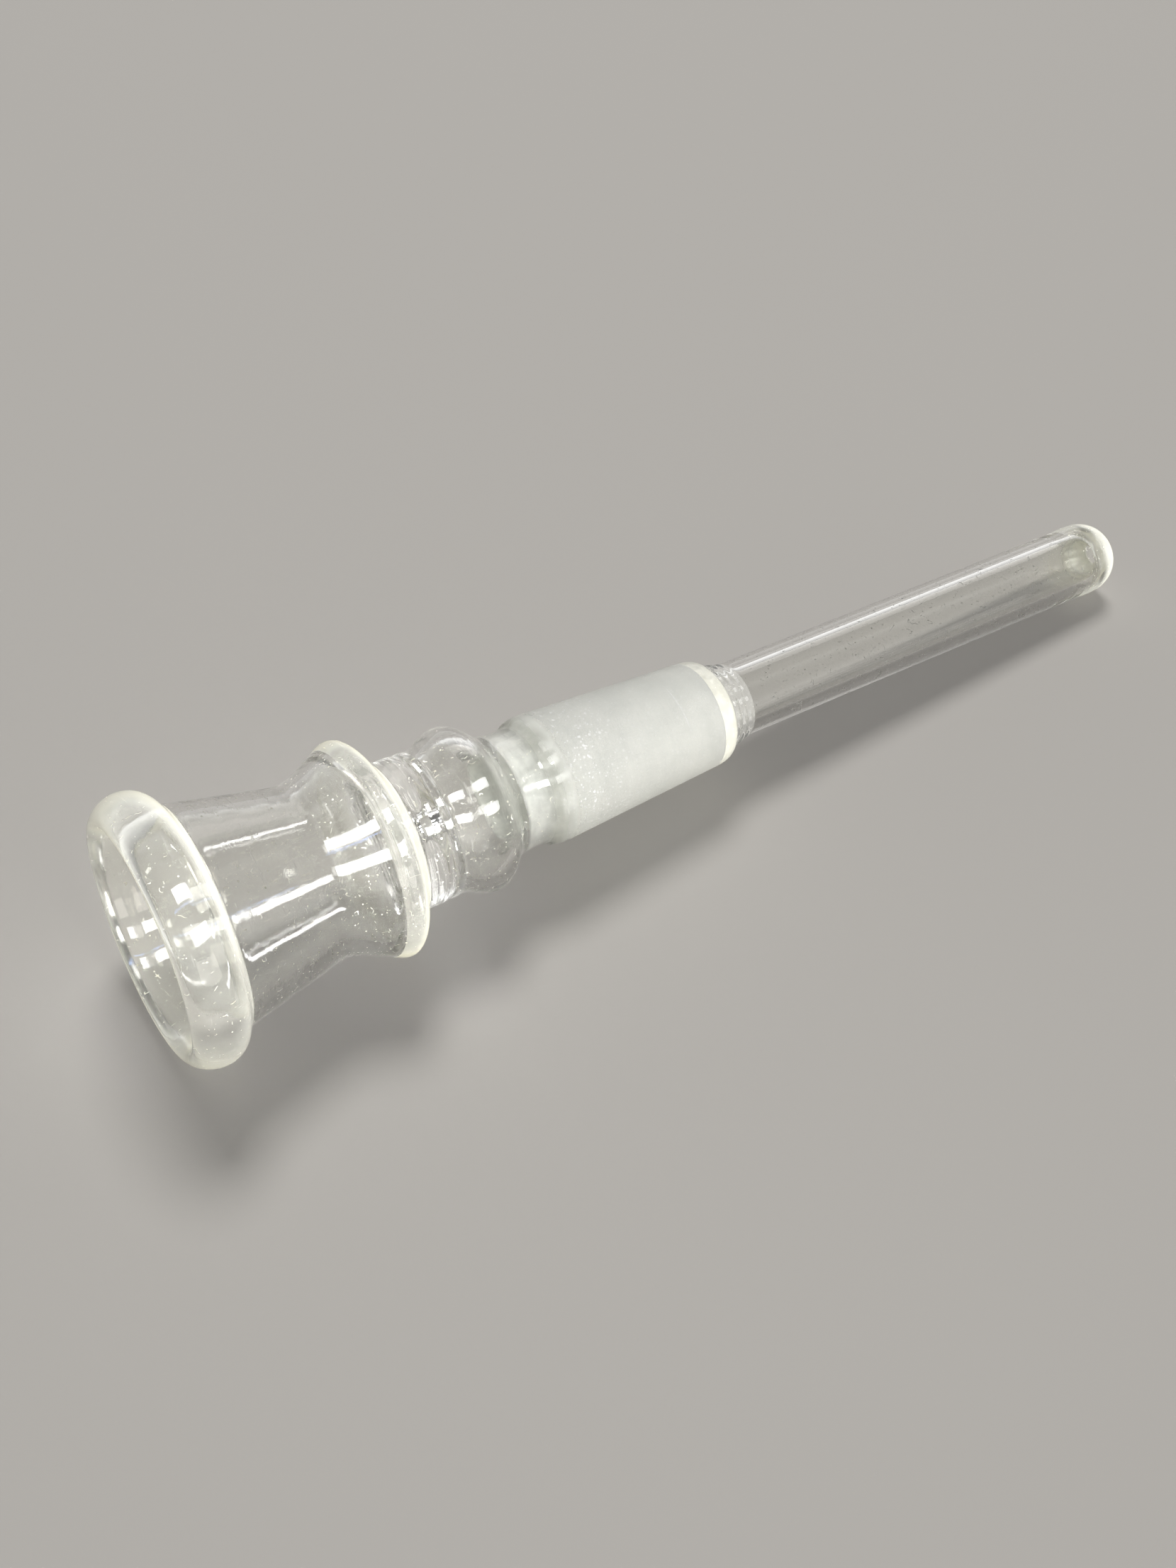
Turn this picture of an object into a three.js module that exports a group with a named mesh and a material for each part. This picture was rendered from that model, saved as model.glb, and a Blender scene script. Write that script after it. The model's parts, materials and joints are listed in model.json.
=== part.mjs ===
// A one-piece flame-worked glass bowl and downstem: a flared bowl with a thick rolled lip,
// a wide collar, a hollow bulb, a ground male taper joint and a long stem tube.
//
// Every piece is turned about one axis. Its outline is written in the plane of that axis as
// [station, radius], in millimetres, with stations counted from the mouth of the bowl.
// The part lies as it rests on a table, on its lip and on the tip of its stem, so the axis
// slopes down towards the tip. X runs from the mouth to the tip, and Z is up.
import * as THREE from 'three';

// ---------------------------------------------------------------- driving dimensions (mm)
const SIDES = 32; // flats around every turned piece
const GAP = 0.3; // clearance between neighbouring pieces along the axis
const WALL = 2.1; // blown wall

const LIP_RADIUS = 18.5; // widest ring of the rolled lip
const LIP_STATION = 4.2;
const LIP_BACK_ARC = 3.9; // rounding of the lip towards the bowl wall
const LIP_FRONT_ARC = 5.0; // flatter rounding towards the mouth
const LIP_END = 8.4;
const MOUTH_RADIUS = 14.8; // inner edge of the mouth

const WAIST_STATION = 23.6;
const WAIST_RADIUS = 12.05;
const BOWL_RADIUS = 15.3; // outside of the bowl wall just behind the lip

const COLLAR_START = 30.1;
const COLLAR_STATION = 32.1;
const COLLAR_RADIUS = 15.4;
const COLLAR_END = 35.6;
const COLLAR_FRONT_RADIUS = 14.6;

const NECK_RADIUS = 10.55;
const NECK_END = 41.8;
const RIPPLE_HEIGHT = 0.12; // tool marks on the neck
const RIPPLES = 3;
const DRAW_HOLE_RADIUS = 1.6;
const FLOOR_RADIUS = 8.1;
const FLOOR_WEB = 2.4; // thickness of the floor at the draw hole

const BULB_STATION = 46.8;
const BULB_RADIUS = 12.0;
const BULB_END = 52.1;

const THROAT_RADIUS = 8.45; // narrow tube between the bulb and the joint
const SHOULDER_START = 56.6;

const JOINT_START = 59.5; // large end of the ground zone
const JOINT_RADIUS = 9.4; // 18.8 mm across the large end
const JOINT_LENGTH = 26;
const JOINT_TAPER = 0.1; // on diameter: 1 in 10
const COLLET_LENGTH = 2.6; // clear rounded end beyond the ground zone
const COLLET_END_RADIUS = 7.1;

const SEAL_RINGS = 3;
const SEAL_PITCH = 1.4;
const SEAL_FIRST_RADIUS = 6.7;
const SEAL_LAST_RADIUS = 5.98;

const STEM_RADIUS = 5.8;
const STEM_BORE = 3.8;
const TIP_START = 162.5;
const TIP_RADIUS = 5.95;
const TIP_STATION = 165.5; // where the tip touches the table
const TIP_ROUND = 4.3;
const TIP_HOLE_RADIUS = 1.9;
const TIP_FLAT_RADIUS = 3.1;
const TOTAL_LENGTH = 170.4;

// ---------------------------------------------------------------- derived dimensions
const JOINT_END = JOINT_START + JOINT_LENGTH;
const JOINT_END_RADIUS = JOINT_RADIUS - (JOINT_LENGTH * JOINT_TAPER) / 2;
const COLLET_END = JOINT_END + GAP + COLLET_LENGTH;
const STEM_START = COLLET_END + GAP + SEAL_RINGS * SEAL_PITCH;
const NECK_BORE = NECK_RADIUS - WALL;
const THROAT_BORE = THROAT_RADIUS - WALL;
const FLAT_FACTOR = Math.cos(Math.PI / SIDES); // centre-to-flat over centre-to-corner
const SLOPE = Math.asin(((LIP_RADIUS - TIP_RADIUS) * FLAT_FACTOR) / (TIP_STATION - LIP_STATION));

// ---------------------------------------------------------------- materials
const clearGlass = { color: 0xe6ebe6, roughness: 0.03, metalness: 0 };
const thickGlass = { color: 0xeef0dc, roughness: 0.03, metalness: 0 };
const groundGlass = { color: 0xd5ddda, roughness: 0.6, metalness: 0 };

// ---------------------------------------------------------------- outlines
// Points of a circular arc about [station, radius], from one angle to another. Angle 0 points
// along the axis towards the tip, and 90 degrees points away from the axis.
function arc(station, radius, size, fromDegrees, toDegrees, steps) {
  return ellipse(station, radius, size, size, fromDegrees, toDegrees, steps);
}

function ellipse(station, radius, halfLength, halfHeight, fromDegrees, toDegrees, steps) {
  const points = [];
  for (let i = 0; i <= steps; i += 1) {
    const angle = THREE.MathUtils.degToRad(fromDegrees + ((toDegrees - fromDegrees) * i) / steps);
    points.push([station + halfLength * Math.cos(angle), radius + halfHeight * Math.sin(angle)]);
  }
  return points;
}

// An S-shaped stretch between two [station, radius] points, level at both ends. A fullness
// over 1 holds the first radius for longer.
function swell([startStation, startRadius], [endStation, endRadius], fullness, steps) {
  const points = [];
  for (let i = 0; i <= steps; i += 1) {
    const t = i / steps;
    const rise = (1 - Math.cos(Math.PI * t ** fullness)) / 2;
    points.push([
      THREE.MathUtils.lerp(startStation, endStation, t),
      THREE.MathUtils.lerp(startRadius, endRadius, rise),
    ]);
  }
  return points;
}

// A turned piece. Both outlines run from the mouth towards the tip.
function turned(name, look, outside, inside) {
  const outline = [...outside, ...[...inside].reverse(), outside[0]];
  const profile = outline.map(([station, radius]) => new THREE.Vector2(radius, station));
  const geometry = new THREE.LatheGeometry(profile, SIDES, Math.PI / SIDES);
  const mesh = new THREE.Mesh(geometry, new THREE.MeshStandardMaterial(look));
  mesh.name = name;
  return mesh;
}

// ---------------------------------------------------------------- bowl
function rimBead() {
  const frontCentre = LIP_RADIUS - LIP_FRONT_ARC;
  const backCentre = LIP_RADIUS - LIP_BACK_ARC;
  const outside = [
    [0, MOUTH_RADIUS + 0.9],
    ...arc(LIP_STATION, frontCentre, LIP_FRONT_ARC, 139, 90, 4),
    ...arc(LIP_STATION, backCentre, LIP_BACK_ARC, 72, 18, 3),
    [LIP_END - GAP, BOWL_RADIUS],
  ];
  const inside = [
    [0, MOUTH_RADIUS + 0.9],
    [0.8, MOUTH_RADIUS],
    [LIP_STATION, MOUTH_RADIUS - 0.8],
    [LIP_END - GAP, BOWL_RADIUS - WALL],
  ];
  return turned('rim_bead', thickGlass, outside, inside.slice(1));
}

function cupWall() {
  const bow = 0.05; // the cone is slightly hollow-sided
  const middle = [(LIP_END + WAIST_STATION) / 2, (BOWL_RADIUS + WAIST_RADIUS) / 2 - bow];
  const outside = [[LIP_END, BOWL_RADIUS], middle, [WAIST_STATION - GAP, WAIST_RADIUS]];
  const inside = outside.map(([station, radius]) => [station, radius - WALL]);
  return turned('cup_wall', clearGlass, outside, inside);
}

function cupFlare() {
  const steps = 4;
  const outside = [];
  for (let i = 0; i <= steps; i += 1) {
    const t = i / steps;
    const station = WAIST_STATION + (COLLAR_START - GAP - WAIST_STATION) * t;
    outside.push([station, WAIST_RADIUS + (COLLAR_FRONT_RADIUS - WAIST_RADIUS) * t ** 1.45]);
  }
  const inside = outside.map(([station, radius]) => [station, radius - WALL]);
  return turned('cup_flare', clearGlass, outside, inside);
}

function collar() {
  const outside = [
    [COLLAR_START, COLLAR_FRONT_RADIUS],
    [COLLAR_STATION - 1.0, COLLAR_RADIUS - 0.2],
    [COLLAR_STATION, COLLAR_RADIUS],
    [COLLAR_STATION + 0.8, COLLAR_RADIUS - 0.45],
    [COLLAR_STATION + 2.2, COLLAR_RADIUS - 2.8],
    [COLLAR_END - GAP, NECK_RADIUS + 0.45],
  ];
  const inside = [
    [COLLAR_START, COLLAR_FRONT_RADIUS - WALL],
    [COLLAR_STATION - 0.6, COLLAR_RADIUS - 2.9],
    [COLLAR_STATION + 0.6, COLLAR_RADIUS - 4.1],
    [COLLAR_END - GAP, FLOOR_RADIUS + GAP],
  ];
  return turned('collar', thickGlass, outside, inside);
}

function bowlFloor() {
  const middle = (COLLAR_END + NECK_END) / 2;
  const outside = [
    [COLLAR_END - 1.2, FLOOR_RADIUS],
    [NECK_END - 0.6, FLOOR_RADIUS],
  ];
  const inside = [
    [middle - FLOOR_WEB / 2, DRAW_HOLE_RADIUS],
    [middle + FLOOR_WEB / 2, DRAW_HOLE_RADIUS],
  ];
  return turned('bowl_floor', clearGlass, outside, inside);
}

// ---------------------------------------------------------------- neck, bulb and throat
function neck() {
  const outside = [];
  const steps = RIPPLES * 2;
  for (let i = 0; i <= steps; i += 1) {
    const station = COLLAR_END + ((NECK_END - GAP - COLLAR_END) * i) / steps;
    const ripple = i % 2 === 0 ? 0 : RIPPLE_HEIGHT;
    outside.push([station, NECK_RADIUS + ripple - (0.25 * i) / steps]);
  }
  const inside = [
    [COLLAR_END, NECK_BORE],
    [NECK_END - GAP, NECK_BORE],
  ];
  return turned('neck', clearGlass, outside, inside);
}

function bulb() {
  const skin = (inset) => {
    const start = [NECK_END, NECK_RADIUS - 0.25 - inset];
    const crown = [BULB_STATION, BULB_RADIUS - inset];
    const end = [BULB_END, THROAT_RADIUS + 0.2 - inset];
    return [...swell(start, crown, 1, 5), ...swell(crown, end, 1.15, 5).slice(1)];
  };
  return turned('bulb', clearGlass, skin(0), skin(WALL));
}

function throat() {
  const outside = [
    [BULB_END + GAP, THROAT_RADIUS + 0.15],
    [(BULB_END + SHOULDER_START) / 2 + GAP, THROAT_RADIUS],
    [SHOULDER_START - GAP, THROAT_RADIUS + 0.05],
  ];
  const inside = [
    [BULB_END + GAP, THROAT_BORE],
    [SHOULDER_START - GAP, THROAT_BORE],
  ];
  return turned('throat', clearGlass, outside, inside);
}

// ---------------------------------------------------------------- ground joint
function jointShoulder() {
  const rise = JOINT_RADIUS - THROAT_RADIUS;
  const run = JOINT_START - GAP - SHOULDER_START;
  const outside = ellipse(SHOULDER_START + run * 0.75, JOINT_RADIUS - rise, run * 0.75, rise, 180, 90, 4);
  outside.push([JOINT_START - GAP, JOINT_RADIUS + 0.01]);
  const inside = [
    [SHOULDER_START, THROAT_BORE],
    [JOINT_START - GAP, JOINT_RADIUS - WALL],
  ];
  return turned('joint_shoulder', clearGlass, outside, inside);
}

function groundJoint() {
  const outside = [
    [JOINT_START, JOINT_RADIUS],
    [JOINT_END, JOINT_END_RADIUS],
  ];
  const inside = outside.map(([station, radius]) => [station, radius - WALL]);
  return turned('ground_joint', groundGlass, outside, inside);
}

function jointEnd() {
  const start = JOINT_END + GAP;
  const drop = JOINT_END_RADIUS - COLLET_END_RADIUS;
  const outside = ellipse(start, COLLET_END_RADIUS, COLLET_LENGTH, drop, 90, 0, 4);
  const inside = [
    [start, JOINT_END_RADIUS - WALL],
    [COLLET_END - 0.6, STEM_BORE],
    [COLLET_END, STEM_BORE],
  ];
  return turned('joint_end', thickGlass, outside, inside);
}

// ---------------------------------------------------------------- stem
function sealRing(index) {
  const start = COLLET_END + GAP + index * SEAL_PITCH;
  const end = start + SEAL_PITCH - GAP;
  const crown = THREE.MathUtils.lerp(SEAL_FIRST_RADIUS, SEAL_LAST_RADIUS, index / (SEAL_RINGS - 1));
  const outside = ellipse((start + end) / 2, crown - 0.35, (end - start) / 2, 0.35, 180, 0, 4);
  const inside = [
    [start, STEM_BORE],
    [end, STEM_BORE],
  ];
  return turned(`seal_ring_${index + 1}`, clearGlass, outside, inside);
}

function stemTube() {
  const outside = [
    [STEM_START, STEM_RADIUS],
    [TIP_START - GAP, STEM_RADIUS],
  ];
  const inside = outside.map(([station]) => [station, STEM_BORE]);
  return turned('stem_tube', clearGlass, outside, inside);
}

function stemTip() {
  const roundStart = TOTAL_LENGTH - TIP_ROUND;
  const drop = TIP_RADIUS - TIP_FLAT_RADIUS;
  const outside = [
    [TIP_START, STEM_RADIUS],
    [TIP_STATION - 1.5, TIP_RADIUS - 0.03],
    [TIP_STATION, TIP_RADIUS],
    ...ellipse(roundStart, TIP_FLAT_RADIUS, TIP_ROUND, drop, 84, 0, 5),
  ];
  const inside = [
    [TIP_START, STEM_BORE],
    [TOTAL_LENGTH - 4.4, STEM_BORE - 0.25],
    [TOTAL_LENGTH - 2.6, TIP_HOLE_RADIUS + 0.6],
    [TOTAL_LENGTH - 1.4, TIP_HOLE_RADIUS],
    [TOTAL_LENGTH, TIP_HOLE_RADIUS],
  ];
  return turned('stem_tip', thickGlass, outside, inside);
}

// ---------------------------------------------------------------- assembly
const part = new THREE.Group();
part.name = 'bowl_and_downstem';

// The turning axis is the lathe's Y axis. It is laid along X and sloped down to the tip.
const axis = new THREE.Group();
axis.rotation.z = -Math.PI / 2;
axis.add(
  rimBead(),
  cupWall(),
  cupFlare(),
  collar(),
  bowlFloor(),
  neck(),
  bulb(),
  throat(),
  jointShoulder(),
  groundJoint(),
  jointEnd(),
);
for (let index = 0; index < SEAL_RINGS; index += 1) {
  axis.add(sealRing(index));
}
axis.add(stemTube(), stemTip());

const lying = new THREE.Group();
lying.rotation.y = SLOPE;
lying.add(axis);
part.add(lying);

// The origin is the centre of the bounding box, at the level of the table.
part.updateMatrixWorld(true);
const box = new THREE.Box3().setFromObject(part, true);
lying.position.set(-(box.min.x + box.max.x) / 2, -(box.min.y + box.max.y) / 2, -box.min.z);
part.updateMatrixWorld(true);

export default part;
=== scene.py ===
import json
import math

import bpy
import numpy as np
from mathutils import Matrix, Vector


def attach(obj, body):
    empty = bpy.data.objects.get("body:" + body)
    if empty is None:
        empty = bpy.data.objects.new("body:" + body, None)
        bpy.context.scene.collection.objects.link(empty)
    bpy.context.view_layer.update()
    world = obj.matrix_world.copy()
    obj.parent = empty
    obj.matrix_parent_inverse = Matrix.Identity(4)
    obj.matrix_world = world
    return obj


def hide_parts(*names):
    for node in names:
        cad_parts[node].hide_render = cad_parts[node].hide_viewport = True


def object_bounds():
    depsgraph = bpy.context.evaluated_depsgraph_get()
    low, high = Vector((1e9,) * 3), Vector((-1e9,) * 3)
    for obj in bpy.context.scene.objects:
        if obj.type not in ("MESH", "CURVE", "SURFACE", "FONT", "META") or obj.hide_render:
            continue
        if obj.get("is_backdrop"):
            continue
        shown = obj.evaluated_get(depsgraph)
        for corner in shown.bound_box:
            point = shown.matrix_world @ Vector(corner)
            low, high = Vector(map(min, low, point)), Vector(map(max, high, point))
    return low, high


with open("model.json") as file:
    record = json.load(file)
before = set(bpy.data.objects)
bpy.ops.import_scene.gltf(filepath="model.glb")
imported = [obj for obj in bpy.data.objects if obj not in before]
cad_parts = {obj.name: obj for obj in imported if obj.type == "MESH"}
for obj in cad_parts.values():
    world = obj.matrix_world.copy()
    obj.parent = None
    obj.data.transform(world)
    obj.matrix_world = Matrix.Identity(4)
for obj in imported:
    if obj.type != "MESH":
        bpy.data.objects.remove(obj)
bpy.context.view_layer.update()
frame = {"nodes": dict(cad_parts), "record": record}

# The object is one fused body of glass, turned about one axis. Each CAD piece gives its own
# outline, the outlines are joined into one smooth closed profile, and the glass is cut again at
# the same places. Neighbouring pieces share their cut exactly, so light passes from one to the
# next as it does in one body of glass. Outlines are (station, radius) in millimetres, with
# stations counted along the axis from the mouth of the bowl.

MM = 0.001
SEED = 11

# ---------------------------------------------------------------- order of the pieces
SEALS = ["seal_ring_1", "seal_ring_2", "seal_ring_3"]
BETWEEN_ENDS = [
    "cup_wall",
    "cup_flare",
    "collar",
    "neck",
    "bulb",
    "throat",
    "joint_shoulder",
    "ground_joint",
    "joint_end",
    *SEALS,
    "stem_tube",
]

# ---------------------------------------------------------------- fineness of the glass surface
ANGLES = 144  # points around each ring
SAME_RING = 0.05  # mm, less than this apart are points of one ring
SAMPLE = 0.05  # mm between samples of the profile before the rings are placed
GROUND_SOFTNESS = 0.20  # mm, rounding of creases on the ground joint and the seal
WORKED_SOFTNESS = 0.45  # mm, rounding of creases on the flame-worked outside
BORE_SOFTNESS = 0.60  # mm, rounding of the blown inside
CRISP_STATIONS = (56.0, 94.0)  # mm, from the shoulder of the joint to the last ring of the seal
CRISP_FADES = (2, 4)  # mm, before the first of those stations and after the last
BORE_FADES = (20, 60)  # samples, before the end of the tip and after it and before the rim again
BEND_SOFTNESS = 0.2  # mm over which the bend of the profile is averaged
LEAST_BEND = 1e-6  # per mm, so that a straight stretch still divides
TURN_STEP = math.radians(7)  # most that the profile turns from ring to ring
CLOSEST_RINGS = 0.12  # mm
WIDEST_RINGS_WORKED = 0.36  # mm, where the glass was worked in the flame
WIDEST_RINGS_DRAWN = 1.1  # mm, on the joint and the drawn stem
DRAWN_STATIONS = (56, 62)  # mm, between which the rings change from worked to drawn spacing

# (station, radius) in mm from the edge of the draw hole to where the glass beside it levels out
FUNNEL_SIDE = (-0.4, 1.0)
BULB_SIDE = (0.3, 0.8)


# ---------------------------------------------------------------- the turning axis
def mount(name):
    return next(m for m in frame["record"]["mounts"] if m["name"] == name)


def cad_points(node):
    return np.array([v.co for v in frame["nodes"][node].data.vertices])


AXIS = np.array(mount("joint_seat")["axis"])
AXIS /= np.linalg.norm(AXIS)
SIDE = np.array([0.0, 1.0, 0.0])
UPRIGHT = np.cross(AXIS, SIDE)
SEAT = np.array(mount("joint_seat")["pos_m"])
MOUTH = SEAT + AXIS * min((cad_points("rim_bead") - SEAT) @ AXIS)


def on_axis(station):
    """The point of the axis at a station, in metres in the frame."""
    return MOUTH + AXIS * station * MM


# ---------------------------------------------------------------- outlines of the CAD pieces
def outline(node):
    """The outside and the inside of a turned CAD piece, both from the mouth towards the tip."""
    mesh = frame["nodes"][node].data
    offset = cad_points(node) - MOUTH
    station = offset @ AXIS
    radius = np.linalg.norm(offset - np.outer(station, AXIS), axis=1)
    places = np.column_stack([station, radius]) / MM
    ring_of = np.full(len(places), -1)
    rings = []
    while (ring_of < 0).any():
        found = places[np.argmax(ring_of < 0)]
        ring_of[np.linalg.norm(places - found, axis=1) < SAME_RING] = len(rings)
        rings.append(found)
    rings = np.array(rings)
    beside = [set() for _ in rings]
    for edge in mesh.edges:
        a, b = ring_of[edge.vertices[0]], ring_of[edge.vertices[1]]
        if a != b:
            beside[a].add(int(b))
            beside[b].add(int(a))

    def by_radius(ring):
        return rings[ring][1]

    first = max(np.flatnonzero(rings[:, 0] < rings[:, 0].min() + SAME_RING), key=by_radius)
    last = max(np.flatnonzero(rings[:, 0] > rings[:, 0].max() - SAME_RING), key=by_radius)
    walk = [int(first), max(beside[first], key=by_radius)]
    while True:
        onward = [ring for ring in beside[walk[-1]] if ring != walk[-2]]
        if onward[0] == walk[0]:
            break
        walk.append(onward[0])
    turn = walk.index(int(last)) + 1
    return rings[walk[:turn]], rings[walk[turn:]][::-1]


def middle(a, b):
    return (np.array(a) + np.array(b)) / 2


OUTLINES = {node: outline(node) for node in frame["nodes"]}
OUTSIDE = {node: both[0] for node, both in OUTLINES.items()}
INSIDE = {node: both[1] for node, both in OUTLINES.items()}


# ---------------------------------------------------------------- one closed profile
def through(points):
    """A smooth curve through the points, sampled every SAMPLE millimetres."""
    points = np.array(points, float)
    reach = np.linalg.norm(np.diff(points, axis=0), axis=1)
    at = np.concatenate([[0], np.cumsum(reach)])
    slope = np.diff(points, axis=0) / reach[:, None]
    tangent = np.empty_like(points)
    tangent[0], tangent[-1] = slope[0], slope[-1]
    before, after = reach[:-1, None], reach[1:, None]
    tangent[1:-1] = (slope[:-1] * after + slope[1:] * before) / (before + after)
    count = max(2, math.ceil(at[-1] / SAMPLE))
    here = np.linspace(0, at[-1], count + 1)
    part = np.clip(np.searchsorted(at, here, side="right") - 1, 0, len(reach) - 1)
    length = reach[part]
    t = ((here - at[part]) / length)[:, None]
    length = length[:, None]
    return (
        points[part] * (1 + 2 * t) * (1 - t) ** 2
        + tangent[part] * length * t * (1 - t) ** 2
        + points[part + 1] * t**2 * (3 - 2 * t)
        + tangent[part + 1] * length * t**2 * (t - 1)
    )


def stretches():
    """(piece, points) of each stretch of the closed profile, in order: the rim round the mouth,
    the outside to the tip, the tip, and the inside back to the rim."""
    floor_rim, hole = OUTSIDE["bowl_floor"], INSIDE["bowl_floor"]
    funnel_edge = middle(INSIDE["collar"][-1], floor_rim[0])
    floor_back = np.array([floor_rim[1][0], (floor_rim[1][1] + INSIDE["neck"][1][1]) / 2])
    ordered = ["rim_bead", *BETWEEN_ENDS, "stem_tip"]
    cuts_out = [
        middle(OUTSIDE[a][-1], OUTSIDE[b][0]) for a, b in zip(ordered[:-1], ordered[1:])
    ]
    cuts_in = [middle(INSIDE[a][-1], INSIDE[b][0]) for a, b in zip(ordered[:-1], ordered[1:])]
    cuts_in[ordered.index("collar")] = funnel_edge
    made = [
        (
            "rim_bead",
            [cuts_in[0], *INSIDE["rim_bead"][:-1][::-1], *OUTSIDE["rim_bead"][:-1], cuts_out[0]],
        )
    ]
    for i, piece in enumerate(BETWEEN_ENDS):
        made.append((piece, [cuts_out[i], *OUTSIDE[piece][1:-1], cuts_out[i + 1]]))
    made.append(
        (
            "stem_tip",
            [cuts_out[-1], *OUTSIDE["stem_tip"][1:], *INSIDE["stem_tip"][1:][::-1], cuts_in[-1]],
        )
    )
    for i in reversed(range(len(BETWEEN_ENDS))):
        piece = BETWEEN_ENDS[i]
        if piece == "neck":
            made.append(("neck", [cuts_in[i + 1], floor_back]))
            funnel = [hole[0] + FUNNEL_SIDE, middle(hole[0], funnel_edge)]
            back = [middle(hole[1], floor_back), hole[1] + BULB_SIDE]
            made.append(("bowl_floor", [floor_back, *back, *hole[::-1], *funnel, funnel_edge]))
        else:
            made.append((piece, [cuts_in[i + 1], *INSIDE[piece][1:-1][::-1], cuts_in[i]]))
    return made


def softened(loop, softness):
    """The closed profile, smoothed along its length by a bell curve of that half-width."""
    reach = np.fft.fftfreq(len(loop), SAMPLE)
    bell = np.exp(-2 * (math.pi * softness * reach) ** 2)
    return np.real(np.fft.ifft(np.fft.fft(loop, axis=0) * bell[:, None], axis=0))


def ease(value, start, end):
    """0 below start, 1 above end, and a smooth rise between them."""
    t = np.clip((value - start) / (end - start), 0, 1)
    return t * t * (3 - 2 * t)


def profile():
    """The rings of the whole glass as (station, radius), and the rings that each piece spans."""
    made = stretches()
    curves = [through(points) for _, points in made]
    loop = np.concatenate([curve[:-1] for curve in curves])
    starts = np.cumsum([0] + [len(curve) - 1 for curve in curves])
    # The inside is the stretch after the tip. Its creases are softer than the outside's.
    tip = [piece for piece, _ in made].index("stem_tip")
    count = np.arange(len(loop))
    before, after = BORE_FADES
    inner = ease(count, starts[tip + 1] - before, starts[tip + 1] + after)
    inner *= 1 - ease(count, starts[-1] - after, starts[-1])
    start, end = CRISP_STATIONS
    before, after = CRISP_FADES
    ground = ease(loop[:, 0], start - before, start) * (1 - ease(loop[:, 0], end, end + after))
    worked = 1 - ground
    crisp = softened(loop, GROUND_SOFTNESS)
    outer = crisp + (softened(loop, WORKED_SOFTNESS) - crisp) * worked[:, None]
    loop = outer + (softened(loop, BORE_SOFTNESS) - outer) * inner[:, None]
    way = np.roll(loop, -1, axis=0) - np.roll(loop, 1, axis=0)
    heading = np.unwrap(np.arctan2(way[:, 1], way[:, 0]))
    bend = np.abs(np.gradient(heading)) / SAMPLE
    bend = softened(np.column_stack([bend, bend]), BEND_SOFTNESS)[:, 0]
    drawn = ease(loop[:, 0], *DRAWN_STATIONS)
    widest = WIDEST_RINGS_WORKED + (WIDEST_RINGS_DRAWN - WIDEST_RINGS_WORKED) * drawn
    step = np.clip(TURN_STEP / np.maximum(bend, LEAST_BEND), CLOSEST_RINGS, widest)
    rings, spans = [], {}
    for (piece, _), start, end in zip(made, starts[:-1], starts[1:]):
        share = np.concatenate([[0], np.cumsum(SAMPLE / step[start:end])])
        wanted = np.linspace(0, share[-1], math.ceil(share[-1]) + 1)[:-1]
        places = np.interp(wanted, share, np.arange(start, end + 1))
        for column in range(len(places)):
            whole = int(places[column])
            t = places[column] - whole
            following = loop[(whole + 1) % len(loop)]
            rings.append(loop[whole] * (1 - t) + following * t)
        spans.setdefault(piece, []).append((len(rings) - len(places), len(rings)))
    spans["neck"].append((spans["bowl_floor"][0][1],) * 2)
    return np.array(rings), spans


RINGS, SPANS = profile()


# ---------------------------------------------------------------- hand-worked unevenness
# (how many, height, shortest, longest, most turns around) of the waves, in mm, broad to fine
WAVES = ((4, 0.020, 14, 40, 2), (5, 0.004, 4, 9, 4), (6, 0.0016, 1.6, 3.2, 9))

# (start, end, height) in mm of the ripples where the tube was drawn in while turning
NECK_RIPPLES = (34.6, 42.0, 0.022)
THROAT_RIPPLES = (51.0, 55.5, 0.008)
RIPPLES = 5  # waves in each
RIPPLE_LENGTHS = (1.5, 2.8)  # mm, the shortest and the longest
RIPPLE_FADE = 1.2  # mm at each end

TRUE_STATIONS = (54, 60)  # mm, between which the glass becomes nearly true
TRUENESS = 0.97  # share of the waves that is missing there
INSIDE_WAVES = 1.6  # how much more uneven the inside is than the outside
INSIDE_RINGS = (4, 12)  # rings before and after the tip's end over which that comes in


def waves(rng, count, height, shortest, longest, turns):
    """Random waves over the glass: (height, per mm, turns around, phase)."""
    return [
        (
            height * rng.uniform(0.5, 1.0),
            2 * math.pi / rng.uniform(shortest, longest),
            int(rng.integers(-turns, turns + 1)),
            rng.uniform(0, 2 * math.pi),
        )
        for _ in range(count)
    ]


def unevenness(rng, station, angle):
    """How far the flame-worked wall lies off its true circle, in millimetres."""
    made = [wave for kind in WAVES for wave in waves(rng, *kind)]
    total = np.zeros(np.broadcast(station, angle).shape)
    for height, per_mm, turns, phase in made:
        total += height * np.sin(per_mm * station + turns * angle + phase)
    for start, end, most in (NECK_RIPPLES, THROAT_RIPPLES):
        rippled = ease(station, start, start + RIPPLE_FADE)
        rippled = rippled * (1 - ease(station, end - RIPPLE_FADE, end))
        for height, per_mm, turns, phase in waves(rng, RIPPLES, most, *RIPPLE_LENGTHS, 0):
            total += rippled * height * np.sin(per_mm * station + turns * angle + phase)
    return total * (1 - TRUENESS * ease(station, *TRUE_STATIONS))


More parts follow.
